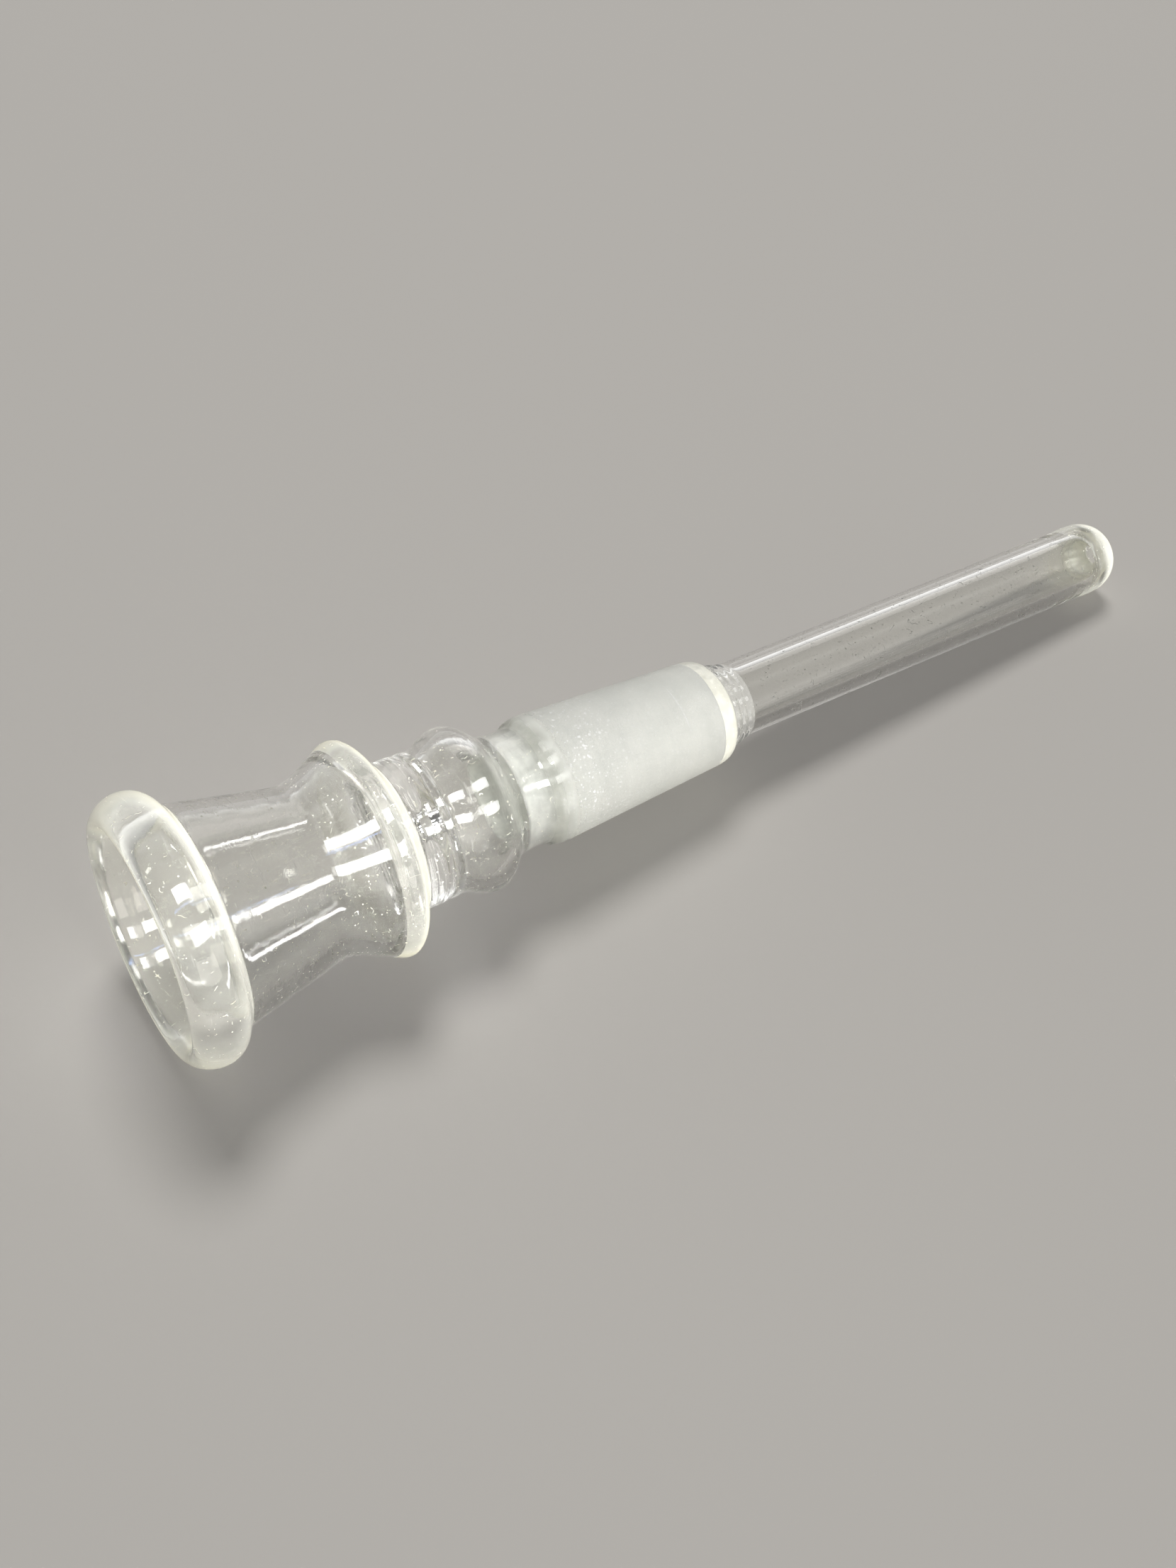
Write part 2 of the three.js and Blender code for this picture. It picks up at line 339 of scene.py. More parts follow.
def glass_points():
    """The place of every point of the glass surface, in metres: rings by angles by 3."""
    rng = np.random.default_rng(SEED)
    angle = np.linspace(0, 2 * math.pi, ANGLES, endpoint=False)[None, :]
    station, radius = RINGS[:, :1], RINGS[:, 1:]
    tip = np.argmax(station[:, 0])
    before, after = INSIDE_RINGS
    inner = ease(np.arange(len(RINGS)), tip - before, tip + after)[:, None]
    outer_waves = unevenness(rng, station, angle)
    inner_waves = unevenness(rng, station, angle)
    radius = radius + outer_waves * (1 - inner) + inner_waves * INSIDE_WAVES * inner
    spokes = np.cos(angle)[..., None] * UPRIGHT + np.sin(angle)[..., None] * SIDE
    return MOUTH + AXIS * station[..., None] * MM + spokes * radius[..., None] * MM


def outward(points):
    """The unit normal at every point, out of the glass."""
    along = np.roll(points, -1, axis=0) - np.roll(points, 1, axis=0)
    around = np.roll(points, -1, axis=1) - np.roll(points, 1, axis=1)
    normal = np.cross(along, around)
    return normal / np.linalg.norm(normal, axis=2, keepdims=True)


POINTS = glass_points()
NORMALS = outward(POINTS)


# ---------------------------------------------------------------- pieces of glass
OUTER_FACE, INNER_FACE, CUT_FACE = range(3)  # material slots of a piece


def piece_faces(spans):
    """The rings of one closed piece, its faces as rows of four points, and each face's slot."""
    used = []
    for first, last in spans:
        used.append([ring % len(RINGS) for ring in range(first, last + 1)])
    order = sorted({ring for span in used for ring in span})
    place = {ring: i for i, ring in enumerate(order)}
    here = np.arange(ANGLES)
    there = (here + 1) % ANGLES
    faces, kinds = [], []

    def band(a, b, kind):
        a, b = place[a] * ANGLES, place[b] * ANGLES
        faces.append(np.column_stack([a + here, b + here, b + there, a + there]))
        kinds.append(np.full(ANGLES, kind))

    for number, span in enumerate(used):
        for a, b in zip(span[:-1], span[1:]):
            band(a, b, INNER_FACE if number else OUTER_FACE)
        following = used[(number + 1) % len(used)][0]
        if following != span[-1]:
            band(span[-1], following, CUT_FACE)
    return order, np.concatenate(faces), np.concatenate(kinds)


def glass_piece(node, outside, inside, cut):
    """A closed piece of the glass with its materials for outside, inside and cut faces."""
    order, faces, kinds = piece_faces(SPANS[node])
    points = POINTS[order].reshape(-1, 3)
    normals = NORMALS[order].reshape(-1, 3)
    mesh = bpy.data.meshes.new(node + "_glass")
    mesh.from_pydata(points.tolist(), [], faces.tolist())
    mesh.polygons.foreach_set("material_index", kinds.astype(np.int32))
    mesh.polygons.foreach_set("use_smooth", np.ones(len(faces), bool))
    for material in (outside, inside, cut):
        mesh.materials.append(material)
    mesh.normals_split_custom_set_from_vertices(normals.tolist())
    mesh.update()
    piece = bpy.data.objects.new(node + "_glass", mesh)
    bpy.context.scene.collection.objects.link(piece)
    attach(piece, "root")
    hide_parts(node)
    return piece


# ---------------------------------------------------------------- shader building
SPECK_EDGE = 0.02  # mm over which a speck fades
HAIR_CORE = 0.4  # share of a hair's width that is full
HAIR_PATCHES = (0.60, 0.66)  # where the noise rises between these, a hair comes in
HAIR_PATCH_SCALE = 1.3  # times the hairs' own scale


class Tree:
    """A material's node tree, with short calls for its nodes."""

    def __init__(self, name):
        self.material = bpy.data.materials.new(name)
        self.material.use_nodes = True
        self.nodes = self.material.node_tree.nodes
        self.nodes.clear()
        self.shader = self.nodes.new("ShaderNodeBsdfPrincipled")
        output = self.nodes.new("ShaderNodeOutputMaterial")
        self.link(self.shader.outputs[0], output.inputs["Surface"])

    def link(self, source, target):
        self.material.node_tree.links.new(source, target)

    def node(self, kind, inputs=None, **settings):
        made = self.nodes.new(kind)
        for name, value in settings.items():
            setattr(made, name, value)
        for name, value in (inputs or {}).items():
            if isinstance(value, bpy.types.NodeSocket):
                self.link(value, made.inputs[name])
            else:
                made.inputs[name].default_value = value
        return made

    def math(self, operation, a, b=0.0):
        made = self.node("ShaderNodeMath", {0: a, 1: b}, operation=operation)
        return made.outputs[0]

    def between(self, value, start, end, low=0.0, high=1.0):
        """value's smooth rise from low at start to high at end."""
        made = self.node(
            "ShaderNodeMapRange",
            {"Value": value, "From Min": start, "From Max": end, "To Min": low, "To Max": high},
            interpolation_type="SMOOTHSTEP",
        )
        return made.outputs["Result"]

    def millimetres(self, stretch=(1, 1, 1)):
        """(station, across, up) from the axis in millimetres, times stretch."""
        turn = math.atan2(-AXIS[2], AXIS[0])
        to_axis = Matrix.Rotation(-turn, 3, "Y")
        shift = -(to_axis @ Vector(MOUTH)) / MM
        place = self.node("ShaderNodeTexCoord").outputs["Object"]
        level = self.node(
            "ShaderNodeMapping",
            {"Vector": place, "Rotation": (0, -turn, 0), "Scale": (1 / MM,) * 3, "Location": shift},
        ).outputs[0]
        if stretch == (1, 1, 1):
            return level
        return self.node(
            "ShaderNodeVectorMath", {0: level, 1: stretch}, operation="MULTIPLY"
        ).outputs[0]

    def station(self):
        return self.node("ShaderNodeSeparateXYZ", {0: self.millimetres()}).outputs[0]

    def noise(self, per_mm, stretch=(1, 1, 1), detail=3.0, roughness=0.5):
        made = self.node(
            "ShaderNodeTexNoise",
            {
                "Vector": self.millimetres(stretch),
                "Scale": per_mm,
                "Detail": detail,
                "Roughness": roughness,
            },
        )
        return made.outputs[0]

    def specks(self, per_mm, size):
        """1 on scattered round specks of about that radius in millimetres, 0 elsewhere."""
        cells = self.node(
            "ShaderNodeTexVoronoi", {"Vector": self.millimetres(), "Scale": per_mm}
        )
        chance = self.node("ShaderNodeSeparateColor", {0: cells.outputs["Color"]}).outputs[0]
        reach = self.math("MULTIPLY", chance, size * per_mm)
        depth = self.math("SUBTRACT", reach, cells.outputs["Distance"])
        return self.between(depth, 0.0, SPECK_EDGE * per_mm)

    def fibres(self, per_mm, width):
        """1 along scattered short curling hairs, 0 elsewhere."""
        off = self.math("ABSOLUTE", self.math("SUBTRACT", self.noise(per_mm, detail=1), 0.5))
        hair = self.math("SUBTRACT", 1.0, self.between(off, width * HAIR_CORE, width))
        patches = self.between(self.noise(per_mm * HAIR_PATCH_SCALE), *HAIR_PATCHES)
        return self.math("MULTIPLY", hair, patches)

    def bump(self, *layers):
        """A normal from (height socket, depth in mm) layers."""
        normal = None
        for height, depth in layers:
            inputs = {"Height": height, "Distance": depth * MM, "Strength": 1.0}
            if normal is not None:
                inputs["Normal"] = normal
            normal = self.node("ShaderNodeBump", inputs).outputs[0]
        self.link(normal, self.shader.inputs["Normal"])


# Scales of patterns are per millimetre. A pair is where a pattern starts and where it is full.
GLASS_IOR = 1.472  # borosilicate
LENGTHWISE = (0.05, 1, 1)  # draws a pattern out along the axis
RINGWISE = (1, 0.05, 0.05)  # draws a pattern out around the axis
GRIT_SCALE = 3.0
GRIT_DEPTH = 0.002  # mm
FILM_SCALE, FILM_RANGE = 0.16, (0.42, 0.70)
FILM_ROUGHNESS = 1.3
SPECK_SCALES = (0.7, 1.5)
SMALL_SPECKS = 0.6  # their radius, as a share of the larger ones'
SPECK_CLOUD, SPECK_ROUGHNESS = 0.8, 0.5
SCUFF_SCALE, SCUFF_RANGE = 3.0, (0.62, 0.70)
SCUFF_PATCH_SCALE, SCUFF_PATCH_RANGE = 0.35, (0.45, 0.65)
SCUFF_CLOUD, SCUFF_ROUGHNESS = 1.2, 1.6
LINT_SCALE, LINT_WIDTH = 0.6, 0.013
MILK_SCALE, MILK_RANGE = 0.5, (0.3, 0.7)
MILK_SPREAD = 0.12  # how far the milk varies to either side
UPRIGHT_RANGE = (0.2, 0.9)  # cosine of the angle from the top, from the sides to top and bottom
TURNED_SCALE = 2.2
DRAWN_SCALE, DRAWN_OUT = 0.9, (0.02, 1, 1)

CLEAR_TINT = (0.988, 0.990, 0.972)
EDGE_TINT = (0.980, 0.982, 0.935)
MILKY_TINT = (0.930, 0.940, 0.885)
CREAM_TINT = (0.985, 0.962, 0.780)
BAND_TINT = (0.975, 0.968, 0.860)


def around(tree):
    """The angle around the axis in degrees, 0 on top and growing towards the far side."""
    split = tree.node("ShaderNodeSeparateXYZ", {0: tree.millimetres()})
    angle = tree.math("ARCTAN2", split.outputs[1], split.outputs[2])
    return tree.math("MULTIPLY", angle, 180 / math.pi)


def clear_glass(
    name,
    tint,
    cloud_colour=MILKY_TINT,
    milk=0.0,
    milk_from=None,
    glow=0.3,
    edge=0.75,
    haze=0.12,
    dust=0.17,
    turned=0.012,
    drawn=0.0,
    painted_caustic_sides=0.0,
):
    """Fire-polished glass. milk is how far it is clouded all over, or past the two stations of
    milk_from, and glow how far along its edges, where one looks through most glass and where the
    surface turns away by more than edge. haze is a patchy film, dust the radius of its specks,
    turned the depth of rings left by the lathe and drawn that of lines along the tube. The last
    argument is the share of the glow taken away at the two sides, which leaves painted caustic
    light brighter on top and underneath."""
    tree = Tree(name)
    tree.shader.inputs["IOR"].default_value = GLASS_IOR
    grit = tree.noise(GRIT_SCALE, detail=4, roughness=0.7)
    film = tree.between(tree.noise(FILM_SCALE, detail=5), *FILM_RANGE)
    film = tree.math("MULTIPLY", film, grit)
    large, small = SPECK_SCALES
    specks = tree.specks(large, dust)
    specks = tree.math("MAXIMUM", specks, tree.specks(small, dust * SMALL_SPECKS))
    scuff_way = LENGTHWISE if drawn else RINGWISE
    scuffs = tree.between(tree.noise(SCUFF_SCALE, scuff_way, detail=2), *SCUFF_RANGE)
    patches = tree.between(tree.noise(SCUFF_PATCH_SCALE), *SCUFF_PATCH_RANGE)
    scuffs = tree.math("MULTIPLY", scuffs, patches)
    lint = tree.fibres(LINT_SCALE, LINT_WIDTH)
    clouded = tree.math("MULTIPLY", film, haze)
    clouded = tree.math("ADD", clouded, tree.math("MULTIPLY", scuffs, haze * SCUFF_CLOUD))
    if milk:
        least, most = milk * (1 - MILK_SPREAD), milk * (1 + MILK_SPREAD)
        cloud = tree.between(tree.noise(MILK_SCALE, detail=3), *MILK_RANGE, least, most)
        if milk_from:
            cloud = tree.math("MULTIPLY", cloud, tree.between(tree.station(), *milk_from))
        clouded = tree.math("ADD", clouded, cloud)
    if glow:
        facing = tree.node("ShaderNodeLayerWeight", {"Blend": 0.5}).outputs["Facing"]
        edges = tree.between(facing, edge, 1.0, 0.0, glow)
        # Painted caustic light: the glow is kept brighter on top and underneath than at the sides.
        if painted_caustic_sides:
            turn = tree.math("RADIANS", around(tree))
            upright = tree.math("ABSOLUTE", tree.math("COSINE", turn))
            painted_caustic_share = tree.between(upright, *UPRIGHT_RANGE, 1 - painted_caustic_sides)
            edges = tree.math("MULTIPLY", edges, painted_caustic_share)
        clouded = tree.math("ADD", clouded, edges)
    specks = tree.math("MAXIMUM", specks, lint)
    clouded = tree.math("MAXIMUM", clouded, tree.math("MULTIPLY", specks, SPECK_CLOUD))
    tree.link(tree.math("SUBTRACT", 1.0, clouded), tree.shader.inputs["Transmission Weight"])
    colour = tree.node(
        "ShaderNodeMix",
        {"Factor": clouded, "A": (*tint, 1), "B": (*cloud_colour, 1)},
        data_type="RGBA",
    )
    tree.link(colour.outputs[2], tree.shader.inputs["Base Color"])
    rough = tree.math("MULTIPLY", film, haze * FILM_ROUGHNESS)
    rough = tree.math("ADD", rough, tree.math("MULTIPLY", specks, SPECK_ROUGHNESS))
    rough = tree.math("ADD", rough, tree.math("MULTIPLY", scuffs, haze * SCUFF_ROUGHNESS))
    tree.link(rough, tree.shader.inputs["Roughness"])
    layers = []
    if turned:
        rings = tree.noise(TURNED_SCALE, RINGWISE, detail=4, roughness=0.65)
        layers += [(rings, turned), (grit, GRIT_DEPTH)]
    if drawn:
        lines = tree.noise(DRAWN_SCALE, DRAWN_OUT, detail=1)
        layers.append((lines, drawn))
    tree.bump(*layers)
    return tree.material


# A fade is in mm from the start of the ground joint.
RAGGED_SCALE, GRAIN_SCALE, CLOUD_SCALE, BRUSH_SCALE = 0.9, 6.0, 0.22, 2.5
FROST_FADE, RAGGEDNESS = (-2.4, 0.8), 2.0
VEIL_FADE, VEIL_MILK = (-3.0, 0.8), (0.16, 0.58)
# White specks on the frost are painted glints of light, most of them near the shoulder.
GLINT_FADE, GLINT_AMOUNT = (3, 12), (1.0, 0.25)
PAINTED_GLINTS = ((1.3, 0.22), (2.4, 0.15))  # scale, radius in mm

# One rub mark, as a socket leaves, goes round part of the near side and leans a little.
RUB_STATION = 79.5  # mm from the mouth
RUB_LEAN = 0.006  # mm per degree
RUB_HALF_WIDTH = (0.03, 0.11)  # mm
RUB_START, RUB_END = (-56, -40), (-8, 0)  # degrees around, over which it comes in and fades
RUB_GRAIN = (0.35, 0.6)

TONE_SHARES = (0.35, 0.2, 0.45)  # cloud, brush and grain
TONE_RANGE = (0.36, 0.62)
DULL_TONE = (0.850, 0.862, 0.815)
PALE_TONE = (0.920, 0.920, 0.862)
# the colour of the painted glints and of the rub mark
GLINT_AND_RUB_TONE = (1.0, 1.0, 0.98)
FROST_MILK, GLINT_AND_RUB_MILK = (0.56, 0.68), 0.3
FROST_ROUGHNESS, GRAIN_ROUGHNESS, GLINT_AND_RUB_POLISH = 0.40, 0.3, 0.25
GRAIN_DEPTH, BRUSH_DEPTH = 0.05, 0.01  # mm


def ground_glass():
    """Glass ground to a frost for the joint, fading to clear glass at the shoulder."""
    tree = Tree("ground_glass")
    shader = tree.shader
    shader.inputs["IOR"].default_value = GLASS_IOR
    seat_start = OUTSIDE["ground_joint"][0][0]
    station = tree.station()
    ragged = tree.noise(RAGGED_SCALE, detail=6, roughness=0.75)
    ragged = tree.math("MULTIPLY", ragged, RAGGEDNESS)
    ragged = tree.math("SUBTRACT", station, ragged)
    frost = tree.between(ragged, *[seat_start + place for place in FROST_FADE])
    veil = tree.between(station, *[seat_start + place for place in VEIL_FADE], *VEIL_MILK)
    grain = tree.noise(GRAIN_SCALE, detail=4, roughness=0.75)
    cloud = tree.noise(CLOUD_SCALE, detail=5, roughness=0.55)
    brush = tree.noise(BRUSH_SCALE, RINGWISE, detail=3)
    # painted glints: white specks, thinning out away from the shoulder
    painted_glint = tree.math("MAXIMUM", *[tree.specks(*kind) for kind in PAINTED_GLINTS])
    near = [seat_start + place for place in GLINT_FADE]
    near = tree.between(station, *near, *GLINT_AMOUNT)
    painted_glint = tree.math("MULTIPLY", painted_glint, near)
    lean = tree.math("MULTIPLY", around(tree), RUB_LEAN)
    off = tree.math("SUBTRACT", tree.math("ADD", station, lean), RUB_STATION)
    off = tree.math("ABSOLUTE", off)
    rub = tree.math("SUBTRACT", 1.0, tree.between(off, *RUB_HALF_WIDTH))
    rub = tree.math("MULTIPLY", rub, tree.between(around(tree), *RUB_START))
    before_end = tree.math("SUBTRACT", 1.0, tree.between(around(tree), *RUB_END))
    rub = tree.math("MULTIPLY", rub, before_end)
    rub = tree.math("MULTIPLY", rub, tree.between(grain, *RUB_GRAIN))
    # the painted glints together with the real rub mark
    glints_and_rub = tree.math("MAXIMUM", painted_glint, rub)
    shares = zip((cloud, brush, grain), TONE_SHARES)
    cloud_tone, brush_tone, grain_tone = [tree.math("MULTIPLY", *share) for share in shares]
    tone = tree.math("ADD", tree.math("ADD", cloud_tone, brush_tone), grain_tone)
    ramp = tree.node("ShaderNodeValToRGB", {"Fac": tone})
    for stop, place, colour in zip(ramp.color_ramp.elements, TONE_RANGE, (DULL_TONE, PALE_TONE)):
        stop.position = place
        stop.color = (*colour, 1)
    bright = tree.node(
        "ShaderNodeMix",
        {"Factor": glints_and_rub, "A": ramp.outputs[0], "B": (*GLINT_AND_RUB_TONE, 1)},
        data_type="RGBA",
    )
    tree.link(bright.outputs[2], shader.inputs["Base Color"])
    white = tree.between(tone, *TONE_RANGE, *FROST_MILK)
    white = tree.math("ADD", white, tree.math("MULTIPLY", glints_and_rub, GLINT_AND_RUB_MILK))
    white = tree.math("MAXIMUM", tree.math("MULTIPLY", white, frost), veil)
    tree.link(tree.math("SUBTRACT", 1.0, white), shader.inputs["Transmission Weight"])
    matt = tree.math("ADD", FROST_ROUGHNESS, tree.math("MULTIPLY", grain, GRAIN_ROUGHNESS))
    matt = tree.math("SUBTRACT", matt, tree.math("MULTIPLY", glints_and_rub, GLINT_AND_RUB_POLISH))
    tree.link(tree.math("MULTIPLY", matt, frost), shader.inputs["Roughness"])
    grit = tree.math("MULTIPLY", grain, frost)
    tree.bump((grit, GRAIN_DEPTH), (tree.math("MULTIPLY", brush, frost), BRUSH_DEPTH))
    return tree.material


def inner_cut():
    """Where two pieces are fused there is no surface, so a cut face shows nothing."""
    tree = Tree("fused_cut")
    tree.shader.inputs["Alpha"].default_value = 0.0
    return tree.material


# milk_from is in mm from the mouth.
CLEAR = clear_glass("clear_glass", CLEAR_TINT, CREAM_TINT, glow=0.40, haze=0.12)
DRAWN = clear_glass("drawn_glass", CLEAR_TINT, haze=0.02, dust=0.13, turned=0.0, drawn=0.0004)
LINING = clear_glass("joint_lining", MILKY_TINT, milk=0.75, glow=0.0, haze=0.1, turned=0.002)
VEIL = clear_glass(
    "throat_lining", MILKY_TINT, milk=0.80, milk_from=(51.8, 53.2), glow=0.0, turned=0.002
)
WORKED = clear_glass("worked_glass", CLEAR_TINT, CREAM_TINT, glow=0.45, haze=0.10, turned=0.003)
SEAL = clear_glass("seal_glass", CLEAR_TINT, BAND_TINT, milk=0.24, haze=0.08, turned=0.004)
THICK = clear_glass(
    "thick_glass",
    EDGE_TINT,
    CREAM_TINT,
    milk=0.04,
    glow=1.0,
    edge=0.28,
    dust=0.12,
    turned=0.008,
    # less glow at the sides, so painted caustic light stays on top and underneath
    painted_caustic_sides=0.65,
)
COLLAR = clear_glass(
    "collar_glass", EDGE_TINT, CREAM_TINT, milk=0.16, glow=0.95, edge=0.34, haze=0.3
)
CREAM = clear_glass("cream_glass", BAND_TINT, BAND_TINT, milk=0.70, haze=0.1, turned=0.004)
TIP = clear_glass(
    "tip_glass",
    EDGE_TINT,
    BAND_TINT,
    milk=0.55,
    milk_from=(165.8, 167.6),
    glow=0.75,
    edge=0.45,
    turned=0.002,
)
TIP_LINING = clear_glass(
    "tip_lining",
    EDGE_TINT,
    BAND_TINT,
    milk=0.72,
    milk_from=(165.5, 166.6),
    glow=0.0,
    turned=0.002,
)
GROUND = ground_glass()
CUT = inner_cut()

# node: (outside, inside, the record's slot)
FINISHES = {
    "rim_bead": (THICK, CLEAR, "thick_glass"),
    "collar": (COLLAR, CLEAR, "thick_glass"),
    "neck": (WORKED, WORKED, "clear_glass"),
    "throat": (WORKED, VEIL, "clear_glass"),
    "joint_shoulder": (GROUND, LINING, "clear_glass"),
    "ground_joint": (GROUND, LINING, "ground_glass"),
    "joint_end": (CREAM, DRAWN, "thick_glass"),
    "stem_tube": (DRAWN, DRAWN, "clear_glass"),
    "stem_tip": (TIP, TIP_LINING, "thick_glass"),
}
FINISHES.update({seal: (SEAL, DRAWN, "clear_glass") for seal in SEALS})

pieces = {}
for node in frame["nodes"]:
    outside, inside, slot = FINISHES.get(node, (CLEAR, CLEAR, "clear_glass"))
    pieces[node] = glass_piece(node, outside, inside, CUT)


# ---------------------------------------------------------------- floor
FLOOR_HALF = 40.0  # m, so far that its edge lies at the horizon in low views
FLOOR_COLOUR = (0.40, 0.388, 0.370)
FLOOR_ROUGHNESS = 0.65


def floor():
    """A plain pale floor at the level that the glass stands on."""
    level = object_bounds()[0].z
    sides = ((-1, -1), (1, -1), (1, 1), (-1, 1))
    corners = [(FLOOR_HALF * x, FLOOR_HALF * y, level) for x, y in sides]
    mesh = bpy.data.meshes.new("floor")
    mesh.from_pydata(corners, [], [(0, 1, 2, 3)])
    tree = Tree("floor")
    tree.shader.inputs["Base Color"].default_value = (*FLOOR_COLOUR, 1)
    tree.shader.inputs["Roughness"].default_value = FLOOR_ROUGHNESS
    mesh.materials.append(tree.material)
    made = bpy.data.objects.new("floor", mesh)
    bpy.context.scene.collection.objects.link(made)
    made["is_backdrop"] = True
    return made


# ---------------------------------------------------------------- light
def receivers(name, objects):
    """A collection that a light can be kept to."""
    made = bpy.data.collections.new(name)
    for lit in objects:
        made.objects.link(lit)
    return made


def of_glass(name, nodes):
    return receivers(name, [pieces[node] for node in nodes])


FLARE = of_glass("flare", ["cup_flare"])
WALL = of_glass("wall", ["cup_wall", "rim_bead"])
CLOUDY = of_glass("cloudy", ["joint_shoulder", "ground_joint", "joint_end", *SEALS, "stem_tip"])
TIP_ONLY = of_glass("tip_only", ["stem_tip"])
BRIGHT = of_glass("bright", ["rim_bead", "collar", "bowl_floor", "neck", "bulb", "throat"])
NECK = of_glass("neck_only", ["neck", "bowl_floor"])
SHOULDER = of_glass("shoulder", ["joint_shoulder"])
FRINGED = of_glass("fringed", ["cup_wall", "cup_flare", "rim_bead"])
EDGES = of_glass("edges", ["rim_bead", "collar", "joint_end"])
SOFT = of_glass("soft", [node for node in pieces if node != "rim_bead"])
FLOOR = receivers("floor_only", [floor()])

LAMP_STATION = 60  # mm, just past the start of the ground joint
WHITE = (1, 1, 1)
CREAM_LIGHT = (1, 0.975, 0.90)
PALE_LIGHT = (1, 1, 0.965)
TIP_LIGHT = (1, 0.99, 0.95)
FRINGE_LIGHT = (0.35, 0.5, 1)
FAR_LIGHT = (1, 0.965, 0.95)

# Each group has two bright strips: (what their names start with, how far they reach from the
# start of the joint on the mouth's side in m, radiance, what they light)
PAIRS = (
    ("flare", 0.42, 18, FLARE),
    ("bright", 0.22, 18, BRIGHT),
    ("cloudy", 0.22, 5.6, CLOUDY),
)

# (what its name ends with, angle, distance, end on the tip's side, width) of the two
OF_A_PAIR = (("_over", -18, 0.55, 0.24, 0.12), ("_near", -52, 0.50, 0.30, 0.11))

# name, angle, distance, ends, width, radiance, what it lights, colour, what alone blocks it
STRIPS = (
    ("joint_over", 8, 0.60, (-0.22, 0.30), 0.20, 2.8, CLOUDY, WHITE, None),
    ("wall_near", -60, 0.50, (0.36, 0.62), 0.070, 30, WALL, WHITE, None),
    ("wall_far", 27, 0.50, (0.30, 0.42), 0.030, 20, WALL, WHITE, None),
    ("wall_low", -104, 0.50, (0.20, 0.65), 0.036, 28, WALL, WHITE, WALL),
    ("neck_side", -84, 0.50, (-0.12, 0.05), 0.14, 26, NECK, WHITE, None),
    ("edge_side", -88, 0.60, (-0.45, 0.20), 0.40, 3.6, EDGES, CREAM_LIGHT, None),
    ("joint_side", -100, 0.60, (-0.20, 0.30), 0.30, 2.9, CLOUDY, PALE_LIGHT, CLOUDY),
    ("tip_side", -40, 0.45, (0.00, 0.30), 0.30, 4.5, TIP_ONLY, TIP_LIGHT, None),
    ("shoulder_glint", -24, 0.55, (-0.10, 0.12), 0.030, 30, SHOULDER, WHITE, None),
    ("neck_far", 50, 0.60, (-0.15, 0.15), 0.25, 18, NECK, WHITE, None),
    ("bowl_fringe", -27, 0.55, (-0.42, 0.24), 0.014, 9, FRINGED, FRINGE_LIGHT, None),
    ("far_light", 55, 0.80, (0.15, 0.95), 0.36, 1.1, SOFT, FAR_LIGHT, None),
)


def softbox(name, angle, distance, ends, width, radiance, lit, colour=WHITE, blockers=None):
    """A light strip along the glass. angle is degrees from overhead, over the far side, and
    ends is how far it reaches from the start of the joint, towards the tip, in metres. It lights
    only lit, and where blockers are given only they cast a shadow in it."""
    data = bpy.data.lights.new(name, "AREA")
    data.shape = "RECTANGLE"
    data.size, data.size_y = ends[1] - ends[0], width
    data.energy = radiance * math.pi * data.size * data.size_y
    data.color = colour
    lamp = bpy.data.objects.new(name, data)
    bpy.context.scene.collection.objects.link(lamp)
    tilt = math.radians(angle)
    away = Vector((0, math.sin(tilt), math.cos(tilt)))
    middle_of_ends = Vector((sum(ends) / 2, 0, 0))
    lamp.location = Vector(on_axis(LAMP_STATION)) + away * distance + middle_of_ends
    along = Vector((1, 0, 0))
    lamp.rotation_euler = Matrix((along, away.cross(along), away)).transposed().to_euler()
    lamp.visible_camera = False
    lamp.light_linking.receiver_collection = lit
    if blockers:
        lamp.light_linking.blocker_collection = blockers


for name, reach, radiance, lit in PAIRS:
    for suffix, angle, distance, end, width in OF_A_PAIR:
        softbox(name + suffix, angle, distance, (-reach, end), width, radiance, lit)
for strip in STRIPS:
    softbox(*strip)

FLOOR_LIGHT = (1, 0.98, 0.955)
SUN_WIDTH = math.radians(22)
SUN_TURN = (math.radians(-20), math.radians(14), 0)


def floor_sun(name, strength, blockers=None):
    """Even light for the floor alone, from overhead and a little over the far side. Only the
    blockers cast a shadow in it, or everything when there are none."""
    data = bpy.data.lights.new(name, "SUN")
    data.energy = strength
    data.angle = SUN_WIDTH
    data.color = FLOOR_LIGHT
    lamp = bpy.data.objects.new(name, data)
    bpy.context.scene.collection.objects.link(lamp)
    lamp.rotation_euler = SUN_TURN
    lamp.light_linking.receiver_collection = FLOOR
    if blockers:
        lamp.light_linking.blocker_collection = blockers


floor_sun("floor_light", 1.7)
floor_sun("floor_fill", 1.1, FLOOR)

BACKDROP = (0.418, 0.402, 0.377)  # the far floor's tone
HORIZON_TO_OVERHEAD = ((0.0, 1.2), (0.20, 0.65), (0.45, 0.15), (1.0, 0.06))  # height, grey
SKY_TINT = (1, 0.995, 0.98)


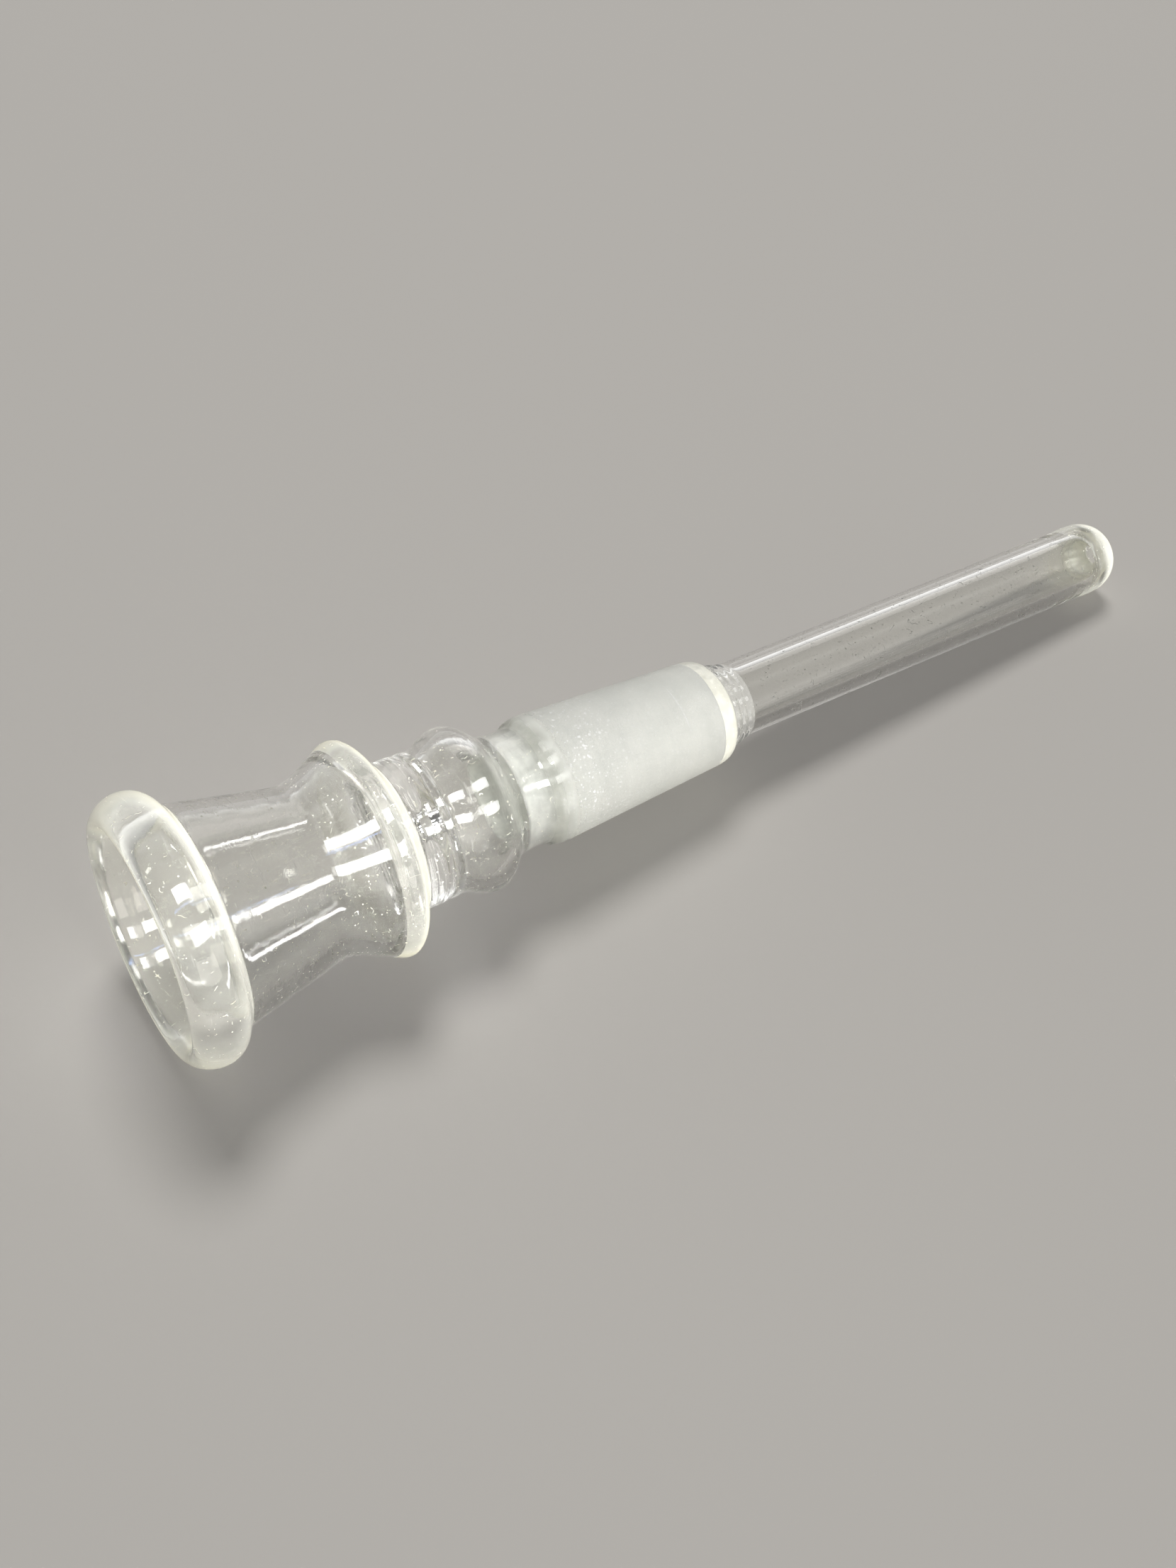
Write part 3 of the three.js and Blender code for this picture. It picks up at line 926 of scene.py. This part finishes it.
def studio_world():
    """A soft surround that lights the glass, brightest at the horizon and dim overhead. The camera
    itself sees an even backdrop in the tone of the floor."""
    world = bpy.data.worlds.new("studio")
    world.use_nodes = True
    nodes, links = world.node_tree.nodes, world.node_tree.links
    place = nodes.new("ShaderNodeTexCoord")
    split = nodes.new("ShaderNodeSeparateXYZ")
    ramp = nodes.new("ShaderNodeValToRGB")
    links.new(place.outputs["Generated"], split.inputs[0])
    links.new(split.outputs["Z"], ramp.inputs["Fac"])
    shown = nodes.new("ShaderNodeMix")
    shown.data_type = "RGBA"
    seen = nodes.new("ShaderNodeLightPath").outputs["Is Camera Ray"]
    links.new(seen, shown.inputs["Factor"])
    links.new(ramp.outputs["Color"], shown.inputs["A"])
    shown.inputs["B"].default_value = (*BACKDROP, 1)
    links.new(shown.outputs[2], nodes["Background"].inputs["Color"])
    ramp.color_ramp.interpolation = "B_SPLINE"
    for height, _ in HORIZON_TO_OVERHEAD[1:-1]:
        ramp.color_ramp.elements.new(height)
    for step, (_, grey) in zip(ramp.color_ramp.elements, HORIZON_TO_OVERHEAD):
        step.color = (*[grey * share for share in SKY_TINT], 1)
    bpy.context.scene.world = world


studio_world()
bpy.context.scene.view_settings.view_transform = "Standard"
bpy.context.scene.cycles.max_bounces = 32
bpy.context.scene.cycles.transmission_bounces = 32
bpy.context.scene.cycles.glossy_bounces = 16
bpy.context.scene.cycles.transparent_max_bounces = 64


# ---------------------------------------------------------------- camera
HEADING = math.radians(33.45)  # from +Y towards +X
DROP = math.radians(46.6)  # below level
DISTANCE = 228.1 * MM
ASIDE, LOWER = 6.40 * MM, 0.84 * MM  # the camera's offset from the line to its aim
LENS, SENSOR = 37.43, 36  # mm
NEAREST = 0.01  # m


def camera():
    """The view along the glass from above the bowl, aimed near the start of the ground joint."""
    level = math.cos(DROP)
    forward = Vector((math.sin(HEADING) * level, math.cos(HEADING) * level, -math.sin(DROP)))
    right = Vector((math.cos(HEADING), -math.sin(HEADING), 0))
    up = right.cross(forward)
    aim = Vector(on_axis(OUTSIDE["ground_joint"][0][0]))
    data = bpy.data.cameras.new("camera")
    data.sensor_width = SENSOR
    data.lens = LENS
    data.clip_start = NEAREST
    eye = bpy.data.objects.new("camera", data)
    bpy.context.scene.collection.objects.link(eye)
    eye.location = aim + right * ASIDE - up * LOWER - forward * DISTANCE
    eye.rotation_euler = Matrix((right, up, -forward)).transposed().to_euler()
    bpy.context.scene.camera = eye


camera()
